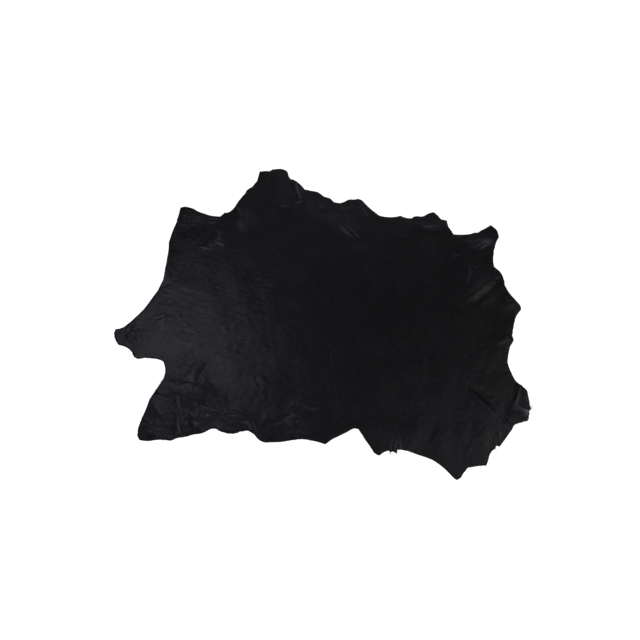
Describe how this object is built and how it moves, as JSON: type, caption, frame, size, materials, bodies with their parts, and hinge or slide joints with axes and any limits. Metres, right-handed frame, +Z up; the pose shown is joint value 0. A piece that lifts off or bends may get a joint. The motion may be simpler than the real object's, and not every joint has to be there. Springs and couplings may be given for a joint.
{
  "type": "leather hide",
  "caption": "Whole black leather hide lying flat grain side up, with irregular edges, four leg corners, a neck and a butt end and low soft folds.",
  "frame": {"origin": "centre of the hide's box in plan, on the surface that it lies on, under the middle of the hide", "axes": "+X along the spine from the neck to the butt, +Y across the hide towards the far pair of legs, +Z up out of the grain side"},
  "size_m": [1.1111, 1.0066, 0.0102],
  "materials": {
    "black_leather": "satin"
  },
  "bodies": {
    "root": {"hide": "black_leather"}
  },
  "joints": []
}
